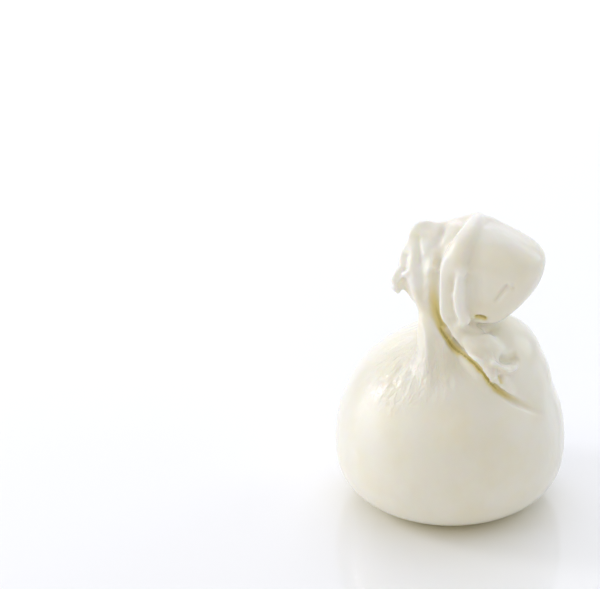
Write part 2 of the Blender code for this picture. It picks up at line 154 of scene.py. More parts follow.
CREASES = [
    # between the two lips of the knot, and under the hood
    ([(2.4, -10.5, 73), (0.6, -10.9, 70.3), (-0.7, -11.3, 67.3), (-1.1, -12, 63.4), (-0.6, -12.8, 59.6),
      (0.9, -13.6, 56)], 0.9, 1.6),
    ([(2.2, -13.6, 56.4), (5.2, -13.0, 55.4), (8.5, -11, 54.5), (12.0, -7, 53.5)], 0.4, 0.9),
    # the soft dent to the right of the neck pleat
    ([(-4.6, -13, 56), (-4.2, -15.5, 50), (-4.1, -19, 44), (-4.2, -22, 38)], 0.5, 1.3, 0.2, 0.6),
    # the notch between the fan and the shoulder
    ([(-10.8, -3, 62), (-9.6, -4, 58.5), (-8.8, -5, 55.5), (-8.2, -6.5, 53)], 1.6, 2.4, 0.3, 0.3),
]

# Finer folds, worked in afterwards in the same way
FINE_RIDGES = [
    # the sharp edges of the inner and the outer lip
    ([(3.7, -11.0, 75.1), (3.0, -11.4, 71.5), (2.8, -11.6, 67.9), (2.9, -11.8, 64.3), (3.2, -12.2, 61.2),
      (3.6, -12.9, 59.0), (4.3, -13.4, 57.0)], 1.5, 1.7),
    ([(-1.5, -9.7, 77.3), (-2.6, -10.4, 74.0), (-3.3, -10.6, 69.9), (-3.3, -10.6, 65.0), (-3.0, -11.2, 61.1),
      (-2.4, -11.9, 58.3), (-1.6, -12.6, 55.9)], 0.5, 0.8),
    # the curled edge under the hollow of the wrap, and its crumpled rim along the long fold
    ([(9.4, -18.2, 49.6), (11.0, -18.0, 48.9), (12.3, -17.8, 48.1), (13.6, -17.6, 47.3), (15.3, -16.8, 46.2),
      (16.6, -15.6, 46.3), (17.6, -14.1, 47.0)], 1.3, 0.6),
    ([(5.2, -17.0, 50.3), (6.8, -17.8, 49.9), (8.1, -18.5, 48.5), (9.4, -19.0, 46.7), (10.5, -19.3, 44.8),
      (11.6, -19.3, 43.0)], 0.9, 0.6),
    ([(11.3, -18.4, 47.4), (11.6, -19.3, 44.6)], 0.9, 0.45),
    ([(14.2, -17.4, 45.4), (14.8, -17.8, 43.5), (15.6, -17.9, 41.8), (17.2, -17.6, 39.5)], 0.5, 0.8),
    ([(2.7, -14.4, 54.1), (4.9, -15.0, 53.5), (7.5, -15.3, 52.8), (10.1, -14.7, 52.2)], 0.4, 1.2),
    # thin ridges of the wrap that run beside the fold
    ([(4.1, -15.6, 50.5), (6.0, -17.8, 50.6), (8.1, -18.4, 49.7), (10.2, -18.8, 48.5)], 0.5, 0.45),
    ([(7.6, -18.6, 48.6), (9.7, -19.4, 46.4), (11.9, -18.5, 43.5), (14.0, -18.3, 41.7), (16.7, -17.6, 39.5),
      (19.7, -16.3, 36.7)], 0.6, 0.45, 0.2, 0.3),
    ([(8.6, -19.0, 48.5), (10.2, -19.2, 46.9), (12.1, -19.2, 44.8)], 0.5, 0.4),
    # pleats of the fan
    ([(-7.7, -0.1, 79.2), (-8.4, -2.4, 77.1), (-8.1, -4.4, 75.1), (-7.6, -6.2, 73.7)], 0.4, 1.0),
    ([(-10.3, -3.4, 76.4), (-10.7, -5.4, 73.8), (-10.7, -6.9, 71.0), (-9.9, -8.2, 67.6)], 0.3, 1.0),
    ([(-13.6, -4.5, 67.1), (-12.5, -5.2, 68.4), (-11.2, -7.0, 70.2)], 0.6, 0.5),
    # the rim of the hood's wrinkle, and a thin thread of curd down the front
    ([(15.4, -12.2, 68.5), (13.6, -12.3, 66.2), (11.5, -12.4, 63.3)], 0.35, 0.5),
    ([(1.0, -16.5, 45.9), (1.1, -18.6, 43.4), (1.1, -21.2, 40.9)], 0.2, 0.5),
    # the left edge of the neck
    ([(-9.2, -10.1, 57.9), (-7.3, -13.1, 55.9), (-6.7, -15.1, 52.5), (-6.4, -17.2, 47.6),
      (-6.3, -19.9, 41.6)], 0.3, 0.5, 0.2, 0.4),
]
# The small pit at the foot of the hood
PIT = ([(5.9, -11.4, 58.7), (7.1, -10.9, 59.1), (8.5, -10.9, 58.9), (10.0, -10.9, 58.4)], 2.6, 0.7, 0.1, 0.5)
FINE_CREASES = [
    # tucked in under the inner lip
    ([(1.9, -10.5, 73.9), (1.0, -10.5, 70.6), (0.6, -10.9, 67.0), (0.6, -11.5, 63.4), (1.0, -12.3, 60.0),
      (2.2, -13.2, 56.8)], 1.3, 0.6, 0.4, 0.15),
    # the end of the trough, the shaded left side of the hood, and the seam where it meets the wrap
    ([(-0.5, -12.4, 59.8), (-0.2, -13.1, 57.8), (0.6, -13.9, 55.2)], 0.5, 0.6),
    ([(6.3, -11.5, 73.7), (6.1, -12.0, 69.7), (6.1, -12.3, 65.1), (6.5, -12.0, 61.6)], 0.7, 1.8, 0.3, 0.3),
    ([(1.9, -13.6, 57.2), (4.8, -12.9, 55.4), (7.5, -11.9, 54.6), (10.2, -7.8, 53.4), (12.8, -5.9, 53.3)],
     0.5, 0.6),
    # the wrinkle of the hood, two thin strokes side by side
    ([(15.0, -12.2, 69.6), (12.8, -12.0, 66.9), (11.0, -12.4, 63.9)], 0.9, 0.45),
    ([(16.3, -12.2, 69.2), (15.2, -12.2, 67.6)], 0.7, 0.4),
    # valleys and pockets of the fan
    ([(-9.0, -1.4, 78.3), (-8.9, -4.3, 75.1), (-8.6, -6.9, 71.1)], 0.7, 0.6),
    ([(-1.9, 1.9, 78.9), (-4.2, -2.4, 77.1), (-6.0, -6.1, 75.4), (-7.0, -7.4, 73.1), (-6.7, -8.7, 71.1)],
     0.8, 1.5),
    ([(-12.3, -4.1, 74.3), (-12.6, -5.1, 71.9), (-12.5, -5.5, 69.4)], 0.9, 0.8),
    ([(-13.9, -3.6, 71.1), (-14.1, -4.3, 67.9)], 0.5, 0.5),
    # nicks of the torn tip, and the dent where the fan narrows to the neck
    ([(-13.0, -5.0, 68.0), (-13.7, -5.7, 65.8), (-13.9, -6.0, 63.6)], 1.1, 0.45),
    ([(-12.5, -4.8, 70.2), (-13.0, -5.7, 66.2)], 0.6, 0.45),
    ([(-16.6, -5.0, 66.0), (-15.6, -5.6, 64.6)], 0.7, 0.45),
    ([(-8.8, -8.6, 66.0), (-8.2, -9.1, 63.9), (-7.9, -9.5, 61.7)], 0.2, 0.9),
    # the hollow in the wrap, and the nicks along its crumpled rim
    ([(5.1, -16.5, 51.9), (7.5, -17.2, 50.8), (10.7, -18.5, 49.8)], 0.5, 0.45),
    ([(12.8, -15.4, 49.7), (14.7, -15.0, 48.6), (16.3, -13.9, 48.3), (17.9, -12.4, 48.4)], 1.9, 1.2),
    ([(13.0, -18.1, 45.7), (13.3, -18.6, 44.2), (13.5, -19.1, 42.7)], 1.5, 0.6),
    ([(3.3, -14.3, 49.9), (2.7, -15.0, 51.9), (1.9, -14.2, 53.8)], 0.4, 0.5),
    ([(12.2, -18.0, 41.0), (11.3, -19.4, 44.0), (10.8, -19.0, 46.2)], 0.6, 0.4),
    ([(8.9, -18.9, 45.5), (7.8, -18.5, 48.3)], 0.5, 0.4),
]

# How a path works on the skin: points read from it, how many half widths it reaches, and the part of it over
# which it fades in and out where the path gives no parts of its own, for relief and for colour
PATH_POINTS = 80
PATH_REACH = 3
STROKE_FADE = 0.15
COLOUR_FADE = 0.2

# Painted fold shade, yellow like light bounced round in the folds: how much distances from front to back
# count, how far proud of its surroundings the skin is where none stays, how high it is painted up the foot of
# the cheese, and how much of it there is at the table
FOLD_SHADE_DEPTH = 0.6
FOLD_SHADE_PROUD = 0.2
FOOT_HEIGHT = 3.5
FOOT_SHADE = 0.75
# Where the fold shade is painted: path, half width and how much of it, and where they aren't the usual, the
# two fades
FOLD_SHADE_PATHS = [
    ([(-3.4, -5.6, 74.0), (-4.2, -6.6, 70.5), (-4.7, -7.4, 66.0), (-4.6, -7.8, 62.9), (-4.0, -8.6, 59.5),
      (-3.0, -10.3, 57.0), (-1.8, -11.7, 54.0)], 1.5, 0.92, 0.75, 0.12),
    ([(-3.8, -9.7, 58.2), (-2.8, -11.3, 54.9), (-0.4, -11.8, 51.4), (2.8, -14.4, 49.4), (5.7, -16.1, 47.9),
      (8.7, -17.4, 45.0), (11.1, -17.6, 41.9), (13.5, -17.2, 39.6), (16.7, -16.8, 37.6), (21.3, -15.4, 34.5),
      (24.5, -12.8, 32.0)], 1.0, 1.0, 0.1, 0.45),
    (PIT[0], 1.1, 1.0),
    ([(13.0, -18.1, 45.7), (13.5, -19.1, 42.7)], 0.6, 0.6),
]

# Where the thin lips, rim and fan are painted lighter and whiter, as if lit through: path and half width
THIN_PAINTED_LIGHT = [
    ([(-11.4, -1.6, 77.4), (-9.6, -0.2, 79.5), (-7.4, 0.8, 80.0), (-5.4, 1.6, 79.6), (-1.5, 2.5, 79.5)], 2.5),
    ([(-1.3, -5.4, 77.7), (-2.0, -9.5, 74.3), (-2.8, -10.1, 69.2), (-2.7, -10.5, 63.5), (-1.8, -11.4, 58.7),
      (0.1, -11.4, 54.2)], 2.2),
    ([(1.9, -11.4, 75.3), (1.7, -12.8, 69.2), (1.8, -13.2, 63.5), (2.7, -14.3, 59.1)], 1.6),
    ([(-7.5, -1.0, 79.0), (-11.8, -3.9, 73.4), (-13.3, -4.8, 68.8), (-14.9, -5.6, 65.6), (-14.5, -5.8, 61.0)],
     4.0),
    ([(-6.6, -1.7, 78.2), (-8.6, -4.7, 73.8), (-9.6, -7.5, 69.3), (-8.5, -8.5, 63.9)], 3.0),
]

# Crinkled places: middle, reach, height, grain and how much longer than wide the crinkles are
CRINKLES = [
    ((-13.0, -13.0, 43.0), 13.0, 0.60, 1.3, 3.0),
    ((-5.0, -17.0, 46.0), 10.0, 0.35, 1.2, 4.0),
    ((11.5, -18.0, 46.5), 6.5, 0.70, 1.3, 1.3),
    ((-10.0, -4.0, 72.0), 11.0, 0.30, 2.0, 1.6),
    ((-14.0, -5.0, 66.5), 5.5, 0.95, 1.1, 1.2),
    ((12.0, -10.0, 70.0), 14.0, 0.08, 4.0, 1.2),
    ((0.0, 12.0, 48.0), 22.0, 0.25, 3.0, 2.2),
    ((0.0, -26.0, 22.0), 26.0, 0.05, 5.0, 1.5),
]
# The grain of crinkles: how far apart the places lie that they are read from, how much and how broadly their
# creases wander, how narrow the creases are, the scale of the swells between them, and the shares of both
NOISE_STEP = 7.3
WANDER = 0.6
WANDER_SCALE = 0.5
CREASE_NARROW = 2.2
SWELL_SCALE = 0.45
SWELL_SHARE = 0.7
CREASE_SHARE = 0.6
# The height below which crinkles run out from the neck, and the middle of the neck
NECK_FOOT = 56.0
NECK_MIDDLE = (-2.0, -3.0)
# How wide the gathers count round the neck, and the crinkle height from which the skin is fully streaked
GATHER_RADIUS = 14.0
STREAKED = 0.35

# Resting patch: how near the cut a point counts as on its rim, and how close two such points may lie
RIM_NEAR = 0.01
RIM_MERGE = 0.15
# Thinning the mesh: the height below which the skin is plain, and how much it thins above that
PLAIN_HEIGHT = 30
FOLD_THINNING = 0.35
# Smoothing passes of the soft skin that hollows are measured from
HOLLOW_EASE = 60

# Grains of the skin: scale for metres, or for millimetres in the streaks along the gathers, then detail, and
# stretch where there is one
PATCH_GRAIN = (90.0, 3.0)
WETNESS_GRAIN = (140.0, 2.0)
RIPPLE_GRAIN = (260.0, 2.0, (1, 1, 0.5))
FIBRE_GRAIN = (1500.0, 3.0, (1, 1, 0.25))
STREAK_GRAIN = (0.75, 3.0, (1, 1, 0.28))
STREAK_SWIRL = 0.7
# Where each colour comes in and is full: creamy patches by their noise, the painted shade of hollows and the
# painted light of ridges by how deep they lie, and the painted fold shade and its deeper shade by how much
# fold shade there is
PATCHES_FROM_TO = (0.35, 0.75)
HOLLOWS_FROM_TO = (0.05, 0.9)
RIDGES_FROM_TO = (-0.05, -0.6)
FOLD_SHADE_FROM_TO = (0.02, 0.85)
DEEP_FOLD_SHADE_FROM_TO = (0.78, 1.0)
# Noise between which the roughness goes from its lowest to its highest, and how far both lie from the middle
ROUGHNESS_NOISE = (0.3, 0.7)
ROUGHNESS_SPREAD = (-0.04, 0.07)
# Reliefs: height in metres, and strength
STREAK_RELIEF = (0.0009, 0.7)
RIPPLE_RELIEF = (0.00025, 0.6)
FIBRE_RELIEF = (0.00003, 0.5)
# Values of the shader that are the same all over the skin
SKIN_VALUES = {
    "IOR": 1.4,
    "Subsurface Weight": 0.6,
    "Subsurface Radius": (1.0, 0.8, 0.45),
    "Coat Roughness": 0.10,
    "Coat IOR": 1.35,
}

# Table top: half its side in metres and its squares along a side, the scale and roughness of its haze, where
# its painted glow starts and is full along Y, in metres, and its refraction
TABLE_HALF = 2.0
TABLE_SQUARES = 4
HAZE_SCALE = 18.0
HAZE_ROUGHNESS = (0.05, 0.09)
PAINTED_GLOW_FROM_TO = (-0.06, 0.13)
TABLE_IOR = 1.7

# Lights: the colour of the room's light and of the white that the camera sees all round, the point that the
# lamps face, in metres, and each lamp's place, width and height in metres, share of the power, and colour
ROOM_LIGHT = (1.0, 0.99, 0.96, 1.0)
PAPER_WHITE = (1.0, 1.0, 1.0, 1.0)
LIGHTS_AIM = (0.0, 0.0, 0.04)
LIGHTS = [
    ("key", (-1.08, 0.24, 0.58), 0.3, 0.45, 0.15, (0.93, 0.93, 1.0)),
    ("left_fill", (-1.15, 0.1, 0.25), 0.9, 0.6, 0.17, (0.98, 1.0, 0.98)),
    ("left_front", (-1.2, -0.5, 0.8), 0.9, 0.9, 0.07, (1.0, 1.0, 1.0)),
    ("top", (0, 0, 1.3), 1.2, 1.2, 0.15, (0.72, 0.80, 1.0)),
    ("overhead", (0, 0.8, 1.2), 1.2, 0.8, 0.20, (0.75, 0.75, 1.0)),
    ("back", (0, 1.5, 0.95), 2.2, 0.8, 0.22, (0.90, 0.93, 1.0)),
    ("back_wash", (0, 1.8, 0.35), 2.4, 0.7, 0.16, (0.99, 1.0, 0.95)),
    ("right_rim", (1.1, 0.7, 0.6), 0.6, 0.9, 0.14, (0.82, 0.93, 1.0)),
    ("right", (1.2, -0.2, 0.5), 0.8, 0.9, 0.07, (0.80, 0.86, 1.0)),
    ("front", (0, -1.5, 0.9), 1.2, 1.0, 0.19, (1.0, 0.82, 0.42)),
]

# Camera: frame and sensor width, the pixel of the frame that the middle of the base falls on, the scale
# there, and the nearest and farthest that it sees, in metres
FRAME = (600, 589)
SENSOR = 36.0
BASE_PIXEL = (449.0, 490.5)
PIXELS_PER_MM = 3.687
CAMERA_SEES = (0.05, 20.0)


class BurrataSizes(bpy.types.PropertyGroup):
    body_radius: FloatProperty(
        name="Body radius", description="Radius of the pouch at its widest", default=0.031, unit="LENGTH")
    widest_height: FloatProperty(
        name="Widest height", description="Height of the widest part of the pouch", default=0.0175,
        unit="LENGTH")
    dome_rise: FloatProperty(
        name="Dome rise", description="Height of the dome above the widest part", default=0.0323,
        unit="LENGTH")
    neck_radius: FloatProperty(
        name="Neck radius", description="Radius of the gathered neck", default=0.0095, unit="LENGTH")
    fold_depth: FloatProperty(
        name="Fold depth", description="How deep the folds are, 1 as made", default=1.0, min=0.0, max=1.3)
    fine_voxel: FloatProperty(
        name="Fine voxel", description="Grain of the finished skin", default=0.00045, min=0.0003,
        unit="LENGTH")
    triangles: IntProperty(
        name="Triangles", description="Triangles of the finished cheese", default=190000, min=20000)


class CurdFinish(bpy.types.PropertyGroup):
    curd: FloatVectorProperty(
        name="Curd", description="Colour of the outer skin", default=(0.905, 0.880, 0.800),
        subtype="COLOR")
    # random creamy patches, and painted shade in the hollows
    cream_and_hollow_shade: FloatVectorProperty(
        name="Cream", description="Colour of the thinner, creamier places", default=(0.885, 0.845, 0.715),
        subtype="COLOR")
    # painted light: a lighter, whiter colour for thin edges and ridges
    painted_light: FloatVectorProperty(
        name="Bloom", description="Colour of thin edges and ridges", default=(0.97, 0.955, 0.915),
        subtype="COLOR")
    # painted shade: a yellow, bounced-light colour for the sides of the folds
    fold_shade: FloatVectorProperty(
        name="Whey", description="Colour of the sides of the folds", default=(0.84, 0.74, 0.35),
        subtype="COLOR")
    # painted shade: the darkest colour, down in the folds
    deep_fold_shade: FloatVectorProperty(
        name="Serum", description="Colour down in the folds", default=(0.57, 0.48, 0.17),
        subtype="COLOR")
    roughness: FloatProperty(
        name="Roughness", description="Roughness of the wet skin", default=0.34, subtype="FACTOR")
    wetness: FloatProperty(
        name="Wetness", description="Clear film of whey over the skin", default=0.7, subtype="FACTOR")
    depth: FloatProperty(
        name="Depth", description="How far light travels in the curd", default=0.0014, unit="LENGTH")


class StudioSettings(bpy.types.PropertyGroup):
    table: FloatVectorProperty(
        name="Table", description="Colour of the table top", default=(0.95, 0.95, 0.95), subtype="COLOR")
    # painted light: the table glows, brighter towards the back, in place of back light seen in it
    painted_glow: FloatProperty(
        name="Glow", description="Light that comes up through the table behind the cheese", default=0.02)
    lens: FloatProperty(
        name="Lens", description="Focal length of the camera in millimetres", default=300.0)
    elevation: FloatProperty(
        name="Elevation", description="Angle from which the cheese is seen", default=math.radians(29.5),
        subtype="ANGLE")
    surround: FloatProperty(
        name="Surround", description="Brightness of the room", default=0.43)
    lamps: FloatProperty(
        name="Lamps", description="Power that the lamps share, in watts", default=20.0)


def smooth_path(points, count):
    """Points spread along one smooth curve through the given ones."""
    p = np.array(points, float)
    p = np.vstack([2 * p[0] - p[1], p, 2 * p[-1] - p[-2]])
    out = []
    # the end is a hair short of the last point, so that each place has a piece of the curve to lie on
    for s in np.linspace(0, len(p) - 3 - 1e-9, count):
        i = int(s)
        t = s - i
        a, b, c, d = p[i : i + 4]
        cubic = 3 * b - a - 3 * c + d
        square = 2 * a - 5 * b + 4 * c - d
        out.append(0.5 * (2 * b + (c - a) * t + square * t**2 + cubic * t**3))
    return np.array(out)


def unit(vectors):
    return vectors / np.linalg.norm(vectors, axis=-1, keepdims=True)


def add_object(name, bm):
    mesh = bpy.data.meshes.new(name)
    bm.to_mesh(mesh)
    bm.free()
    obj = bpy.data.objects.new(name, mesh)
    bpy.context.scene.collection.objects.link(obj)
    return obj


def skin(name, rings):
    """A closed skin through rings of equal length, its first and last ring capped."""
    bm = bmesh.new()
    rows = [[bm.verts.new(point) for point in ring] for ring in np.array(rings) * MM]
    for lower, upper in zip(rows, rows[1:]):
        for i in range(len(lower)):
            j = (i + 1) % len(lower)
            bm.faces.new((lower[i], lower[j], upper[j], upper[i]))
    bm.faces.new(rows[0][::-1])
    bm.faces.new(rows[-1])
    bmesh.ops.recalc_face_normals(bm, faces=bm.faces)
    return add_object(name, bm)


def ellipsoid(name, centre, radii, lean=0.0):
    """A ball stretched to three radii, its top leaned towards +X by a number of degrees."""
    bm = bmesh.new()
    bmesh.ops.create_icosphere(bm, subdivisions=BALL_DIVISIONS, radius=MM)
    turn = Matrix.Rotation(math.radians(lean), 4, "Y")
    shape = Matrix.Translation(Vector(centre) * MM) @ turn @ Matrix.Diagonal((*radii, 1))
    bmesh.ops.transform(bm, matrix=shape, verts=bm.verts)
    return add_object(name, bm)


def limb(name, path, sizes, facing):
    """A tapering strand of oval section, rounded at both ends. Sizes are (half width, half thickness) along
    the path, and facing is the side that the thickness is measured towards, one or several along the path."""
    line = smooth_path(path, LIMB_RINGS)
    size = smooth_path(sizes, LIMB_RINGS)
    facing = np.atleast_2d(facing)
    facing = smooth_path(facing, LIMB_RINGS) if len(facing) > 1 else np.repeat(facing, LIMB_RINGS, axis=0)
    tangent = unit(np.gradient(line, axis=0))
    angle = np.linspace(0, 2 * math.pi, LIMB_POINTS, endpoint=False)[:, None]
    stations = [(0, -c) for c in np.linspace(CAP_END, CAP_START, CAP_RINGS)]
    stations += [(k, 0.0) for k in range(LIMB_RINGS)]
    stations += [(LIMB_RINGS - 1, c) for c in np.linspace(CAP_START, CAP_END, CAP_RINGS)]
    rings = []
    for k, cap in stations:
        along = tangent[k]
        width, thick = size[k] * math.sqrt(1 - cap * cap)
        face = unit(facing[k] - along * np.dot(facing[k], along))
        side = np.cross(along, face)
        centre = line[k] + along * cap * size[k].min()
        rings.append(centre + width * np.cos(angle) * side + thick * np.sin(angle) * face)
    return skin(name, rings)


def body_radius(sizes, z):
    """Radius of the pouch at a height, both in millimetres."""
    radius, widest = sizes.body_radius / MM, sizes.widest_height / MM
    neck = sizes.neck_radius / MM
    if z < widest:
        drop = (widest - z) / SAG_DEPTH
        return radius * (1 - drop**SAG_POWER) ** (1 / SAG_POWER)
    rise = min(1.0, (z - widest) / (sizes.dome_rise / MM))
    dome = radius * math.sqrt(1 - rise * rise)
    return NECK_BLEND * math.log(math.exp(dome / NECK_BLEND) + math.exp(neck / NECK_BLEND))


def neck_lean(z):
    """How far the middle of the pouch lies to the right at a height."""
    return NECK_LEAN * max(0.0, (z - LEAN_START) / (LEAN_END - LEAN_START))


def pouch(sizes):
    """The pouch as one turned skin, from its sagging base up to the gathered neck."""
    widest = sizes.widest_height / MM
    bottom = widest - SAG_REACH * SAG_DEPTH
    lower = bottom + (widest - bottom) * (1 - np.cos(np.linspace(0, math.pi / 2, LOWER_RINGS)))
    upper = np.linspace(widest, NECK_TOP, UPPER_RINGS)[1:]
    angle = np.linspace(0, 2 * math.pi, RING_POINTS, endpoint=False)
    rings = []
    for z in np.concatenate([lower, upper]):
        radius = body_radius(sizes, z)
        height = np.full(RING_POINTS, z)
        rings.append(np.column_stack([neck_lean(z) + radius * np.cos(angle), radius * np.sin(angle), height]))
    return skin("pouch", rings)


def hood():
    """The puffed loop on the right of the knot: upright front, rounded top that falls away to the right."""
    # height, left, right, front and back of each level
    levels = [(55.5, 7.0, 13.0, -8.5, 3.0), (57.5, 3.8, 15.5, -11.4, 5.5), (61.0, 1.4, 19.5, -12.3, 7.5),
              (66.0, 0.8, 23.2, -12.5, 8.8), (72.0, 1.0, 24.6, -12.2, 8.3), (76.0, 2.0, 21.6, -11.0, 6.6),
              (79.5, 4.0, 15.8, -8.8, 4.6), (82.0, 5.6, 10.4, -5.0, 3.0)]
    levels = smooth_path(levels, HOOD_RINGS)
    angle = np.linspace(0, 2 * math.pi, HOOD_POINTS, endpoint=False)
    square = np.where((np.cos(angle) < 0) & (np.sin(angle) < 0), HOOD_CORNER, HOOD_ROUND)
    across = np.sign(np.cos(angle)) * np.abs(np.cos(angle)) ** (2 / square)
    deep = np.sign(np.sin(angle)) * np.abs(np.sin(angle)) ** (2 / square)
    rings = []
    for z, left, right, front, back in levels:
        x = (left + right) / 2 + (right - left) / 2 * across
        y = (front + back) / 2 + (back - front) / 2 * deep
        rings.append(np.column_stack([x, y, np.full(len(angle), z)]))
    return skin("hood", rings)


def fan():
    """The open petal on the left of the knot. Ribs rise from the neck to a thin free rim and spread as they
    rise; the front follows the ribs, and the back lies behind it by a thickness that thins to the rim."""
    ribs = [
        [(-8.0, -5.0, 52), (-10.0, -5.5, 58), (-11.8, -5.5, 62.2), (-13.8, -5.5, 65.0)],
        [(-7.6, -8.5, 53), (-9.8, -8.0, 61), (-12.6, -6.0, 67.5), (-14.9, -3.0, 73.0)],
        [(-6.6, -10.0, 54), (-8.0, -9.3, 63), (-9.4, -6.5, 72), (-9.2, -0.5, 80)],
        [(-5.5, -11.0, 54), (-5.8, -10.3, 64), (-6.2, -7.0, 73.5), (-6.0, 2.0, 80)],
        [(-4.2, -11.0, 55), (-4.4, -9.2, 66), (-3.2, -4.5, 75), (-1.5, 4.0, 80.5)],
        [(-2.5, -9.5, 57), (-2.2, -6.5, 68), (0.5, -2.0, 77.0), (4.0, 3.5, 82.5)],
    ]
    ribs = np.array([smooth_path(rib, FAN_RINGS) for rib in ribs])
    front = np.array([smooth_path(ribs[:, k], FAN_POINTS) for k in range(FAN_RINGS)])
    outward = unit(np.cross(np.gradient(front, axis=1), np.gradient(front, axis=0)))
    place = np.linspace(0, 1, FAN_POINTS)
    rise = np.linspace(0, 1, FAN_RINGS)[:, None]
    wave = sum(size * np.exp(-((place - at) / wide) ** 2) for at, wide, size in FAN_PLEATS)
    swell = np.clip((rise - PLEATS_IN) / PLEATS_OVER, 0, 1) * np.clip((PLEATS_OUT - rise) / PLEATS_OVER, 0, 1)
    front = front + outward * (wave * swell)[:, :, None]
    thick = FAN_RIM + FAN_ROOT * (1 - rise) ** FAN_TAPER * np.ones((FAN_RINGS, FAN_POINTS))
    back = front - outward * thick[:, :, None]
    return skin("fan", [np.vstack([f, b[::-1]]) for f, b in zip(front, back)])


def apply_modifiers(obj, name):
    """Gives the object the mesh that its modifiers make, and names both."""
    graph = bpy.context.evaluated_depsgraph_get()
    done = bpy.data.meshes.new_from_object(obj.evaluated_get(graph))
    obj.modifiers.clear()
    obj.data = done
    obj.name = done.name = name
    return obj


def fuse(name, pieces, voxel, passes):
    """One closed skin round all the pieces, its creases eased by a number of smoothing passes."""
    bm = bmesh.new()
    for piece in pieces:
        bm.from_mesh(piece.data)
        bpy.data.objects.remove(piece, do_unlink=True)
    obj = add_object("fused", bm)
    remesh = obj.modifiers.new("skin", "REMESH")
    remesh.mode = "VOXEL"
    remesh.voxel_size = voxel * MM
    ease = obj.modifiers.new("ease", "SMOOTH")
    ease.factor = EASE
    ease.iterations = passes
    return apply_modifiers(obj, name)


def read(mesh, kind):
    """The places ("co") or the normals ("normal") of a mesh's vertices."""
    values = np.empty(len(mesh.vertices) * 3)
    if kind == "normal":
        mesh.vertex_normals.foreach_get("vector", values)
    else:
        mesh.vertices.foreach_get("co", values)
    return values.reshape(-1, 3)


def along_path(obj, path, width, start, end, depth=1.0):
    """The vertices near a path laid on the skin, and how strongly the path acts on each. A depth below 1
    makes distances from front to back count less."""
    co = read(obj.data, "co") / MM * (1, depth, 1)
    line = smooth_path(path, PATH_POINTS)
    line = np.array([obj.closest_point_on_mesh(Vector(p) * MM)[1] for p in line]) / MM * (1, depth, 1)
    place = np.linspace(0, 1, PATH_POINTS)
    strength = np.clip(np.minimum(place / start, (1 - place) / end), 0, 1)
    strength = strength * strength * (3 - 2 * strength)
    low, high = line.min(axis=0) - PATH_REACH * width, line.max(axis=0) + PATH_REACH * width
    near = np.flatnonzero(np.all((co > low) & (co < high), axis=1))
    gap = np.linalg.norm(co[near, None, :] - line[None], axis=2)
    nearest = gap.argmin(axis=1)
    return near, np.exp(-(gap.min(axis=1) / width) ** 2) * strength[nearest]


def stroke(obj, path, depth, width, start=STROKE_FADE, end=STROKE_FADE):
    """Presses the surface in along a path, or raises it where depth is negative. It fades in over the first
    and out over the last part of the path."""
    mesh = obj.data
    near, amount = along_path(obj, path, width, start, end)
    co = read(mesh, "co")
    normal = read(mesh, "normal")
    co[near] -= depth * MM * amount[:, None] * normal[near]
    mesh.vertices.foreach_set("co", co.ravel())
    mesh.update()


def press(obj, strokes, times):
    """Works a list of strokes into the skin one after another, their depths multiplied."""
    for path, depth, width, *fades in strokes:
        stroke(obj, path, depth * times, width, *fades)


def crinkle(obj):
    """Works fine crinkles into the skin, sharp along their hollows. On the pouch they run out from the neck,
    and on the knot up and down."""
    mesh = obj.data
    co = read(mesh, "co")
    normal = read(mesh, "normal")
    lift = np.zeros(len(co))
    for number, (middle, reach, height, grain, length) in enumerate(CRINKLES):
        place = out_from_neck(co / MM) if middle[2] < NECK_FOOT else co / MM
        away = np.linalg.norm(co / MM - middle, axis=1) / reach
        for i in np.flatnonzero(away < 1):
            x, y, z = place[i] / grain
            at = Vector((x + NOISE_STEP * number, y, z / length))
            bend = WANDER * noise.noise(at * WANDER_SCALE)
            crease = max(0.0, 1 - CREASE_NARROW * abs(noise.noise(at + Vector((bend, bend, 0))))) ** 3
            swell = noise.noise(at * SWELL_SCALE)
            lift[i] += height * (SWELL_SHARE * swell - CREASE_SHARE * crease) * (1 - away[i] ** 2) ** 2
    co += normal * (lift * MM)[:, None]
    mesh.vertices.foreach_set("co", co.ravel())
    mesh.update()


def build_base(sizes):
    """The pouch with its swollen right side and the strand down its front, eased into one rough skin."""
    shoulder = ellipsoid("shoulder", (11.9, -2.0, 41.6), (13.3, 16.5, 12.0), 35)
    flank = ellipsoid("flank", (10.3, -1.5, 32.5), (17.2, 19.0, 18.5))
    strand = limb("strand", [(-4.0, -19.0, 36.5), (-4.0, -14.5, 45), (-4.6, -10.5, 52.5), (-5.2, -7, 59)],
                  [(4.5, 2.2), (5.4, 3.2), (5.2, 4), (4.4, 4)], (0, -1, 0.3))
    return fuse("base", [pouch(sizes), shoulder, flank, strand], COARSE_VOXEL, BASE_EASE)


